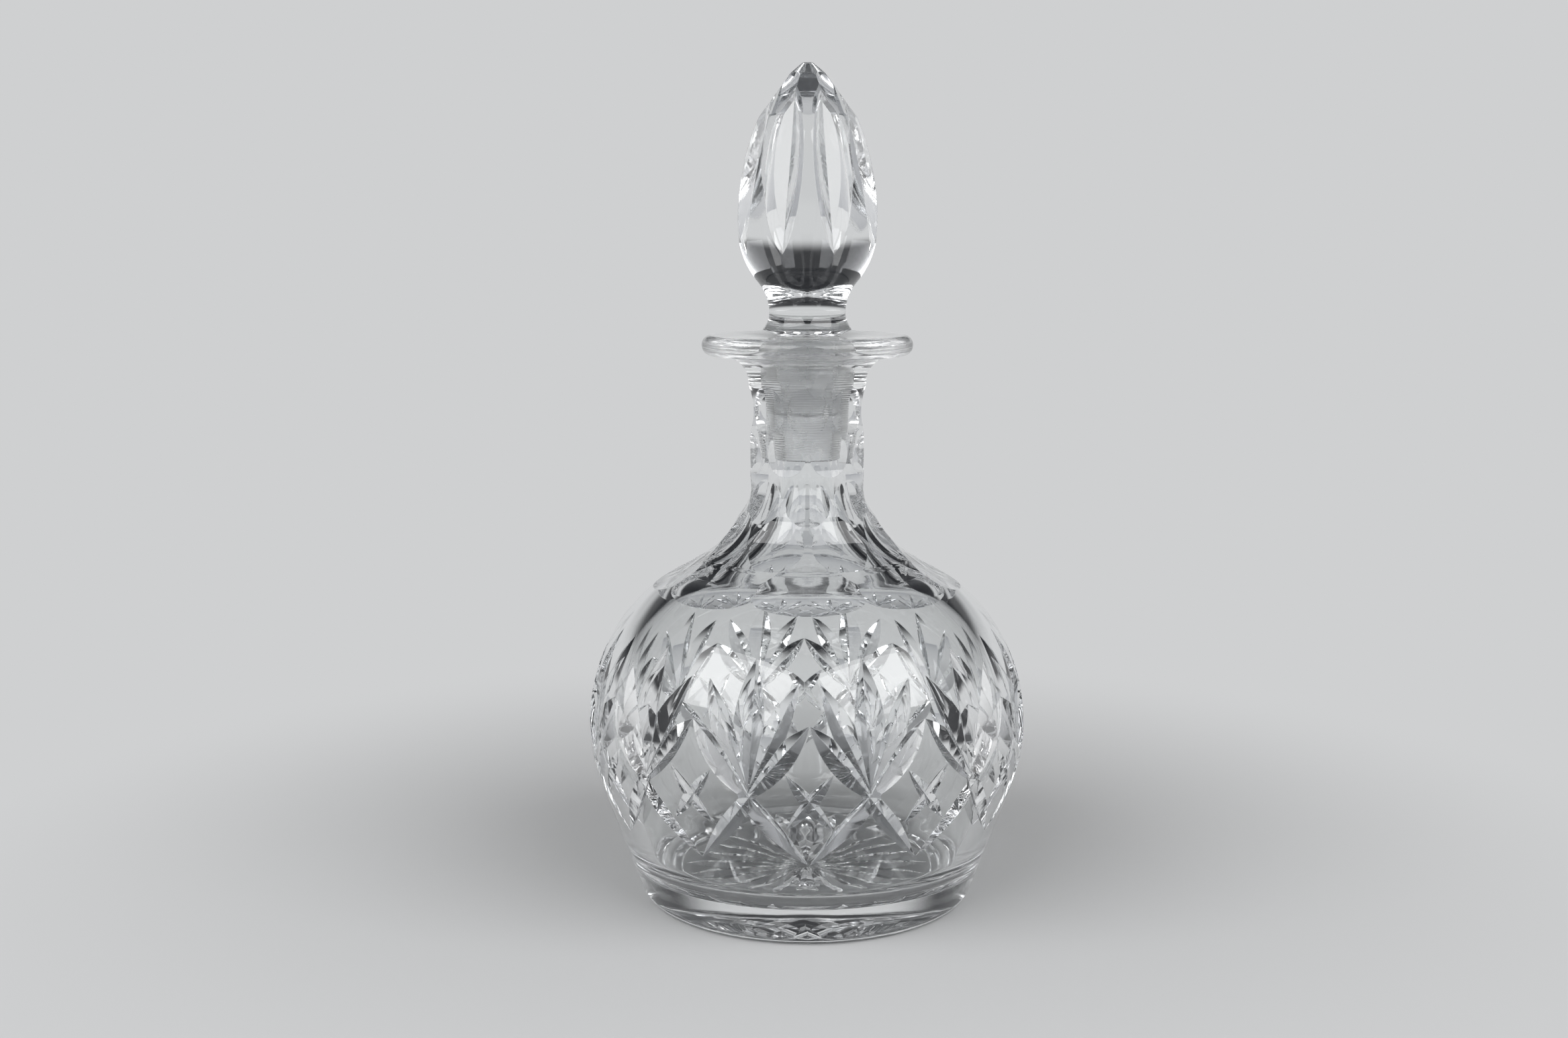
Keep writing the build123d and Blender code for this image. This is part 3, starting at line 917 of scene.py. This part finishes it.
def hang_softboxes(studio):
    """The two softboxes, left and right of the camera."""
    aim = Vector((0, 0, studio.aim_height))
    for side in (-1, 1):
        turn, tilt = side * studio.softbox_turn, studio.softbox_tilt
        away = polar(math.cos(tilt), turn, math.sin(tilt))
        data = bpy.data.lights.new("softbox", "AREA")
        data.shape = "RECTANGLE"
        data.size, data.size_y = studio.softbox_width, studio.softbox_height
        data.energy = studio.softbox_power
        softbox = add_object("softbox", data)
        softbox.location = aim + away * studio.softbox_distance
        softbox.rotation_euler = (-away).to_track_quat("-Z", "Y").to_euler()


def set_camera(studio):
    """The camera, where the photograph was taken from."""
    data = bpy.data.cameras.new("camera")
    data.sensor_width = SENSOR_WIDTH
    data.lens = studio.focal_pixels * SENSOR_WIDTH / PHOTO_WIDTH
    camera = add_object("camera", data)
    camera.location = studio.camera_place
    camera.rotation_euler = (math.pi / 2 - studio.camera_pitch, 0, 0)
    bpy.context.scene.camera = camera


# The add-on


class DECANTER_OT_set_stage(bpy.types.Operator):
    """Lay the floor, hang the backdrop and the softboxes, and set the camera"""

    bl_idname = "decanter.set_stage"
    bl_label = "Set the stage"

    def execute(self, context):
        scene = context.scene
        studio = scene.decanter.studio
        lay_floor(studio)
        hang_backdrop(studio)
        hang_softboxes(studio)
        set_camera(studio)
        scene.view_settings.view_transform = "Standard"
        scene.cycles.max_bounces = GLASS_BOUNCES
        scene.cycles.transmission_bounces = GLASS_BOUNCES
        scene.cycles.glossy_bounces = GLASS_BOUNCES
        return {"FINISHED"}


class DECANTER_OT_make_vessel(bpy.types.Operator):
    """Blow the vessel, then cut its fans, its scalloped neck and its star"""

    bl_idname = "decanter.make_vessel"
    bl_label = "Make the vessel"

    def execute(self, context):
        sizes = context.scene.decanter
        vessel, work = Vessel(sizes.vessel), Wheelwork()
        blank = vessel_blank(vessel)
        frost(blank, vessel.ground_end, vessel.mouth_top, sizes.vessel.mouth_radius)
        piece = blank_piece("vessel", blank)
        fan_cuts(vessel, sizes.cuts, work)
        neck_cuts(vessel, sizes.cuts, work)
        star_cuts(vessel, sizes.cuts, work)
        work.cut(piece)
        finish_piece(piece, "vessel", "decanter", "decanter_body")
        return {"FINISHED"}


class DECANTER_OT_make_stopper(bpy.types.Operator):
    """Turn the stopper and its ground peg, then cut its flutes and its point"""

    bl_idname = "decanter.make_stopper"
    bl_label = "Make the stopper"

    def execute(self, context):
        sizes = context.scene.decanter
        vessel, work = Vessel(sizes.vessel), Wheelwork()
        finial = Finial(sizes.stopper, sizes.vessel.lip_height)
        blank = stopper_blank(finial, vessel)
        ground_low = vessel.mouth_top - sizes.stopper.peg_length + sizes.stopper.peg_tip_round
        frost(blank, ground_low, vessel.mouth_top, sizes.vessel.mouth_radius)
        piece = blank_piece("glass_stopper", blank)
        flute_cuts(finial, work)
        work.cut(piece)
        finish_piece(piece, "glass_stopper", "stopper", "stopper")
        return {"FINISHED"}


class DECANTER_PT_settings(bpy.types.Panel):
    """The decanter's sizes and the steps that make it"""

    bl_label = "Globe decanter"
    bl_space_type = "VIEW_3D"
    bl_region_type = "UI"
    bl_category = "Decanter"

    def draw(self, context):
        settings = context.scene.decanter
        for part, step in PANEL_ROWS:
            box = self.layout.box()
            group = getattr(settings, part)
            for name in type(group).__annotations__:
                box.prop(group, name)
            if step:
                box.operator(step)


# The panel's boxes: a group of sizes, and the step that uses it
PANEL_ROWS = (
    ("vessel", None),
    ("cuts", DECANTER_OT_make_vessel.bl_idname),
    ("stopper", DECANTER_OT_make_stopper.bl_idname),
    ("studio", DECANTER_OT_set_stage.bl_idname),
)

CLASSES = (
    VesselSizes, CutSizes, StopperSizes, StudioSettings, DecanterScene, DECANTER_OT_set_stage,
    DECANTER_OT_make_vessel, DECANTER_OT_make_stopper, DECANTER_PT_settings,
)


def register():
    for item in CLASSES:
        bpy.utils.register_class(item)
    bpy.types.Scene.decanter = PointerProperty(type=DecanterScene)


def unregister():
    del bpy.types.Scene.decanter
    for item in reversed(CLASSES):
        bpy.utils.unregister_class(item)


def main():
    register()
    bpy.ops.decanter.set_stage()
    bpy.ops.decanter.make_vessel()
    bpy.ops.decanter.make_stopper()


if __name__ == "__main__":
    main()
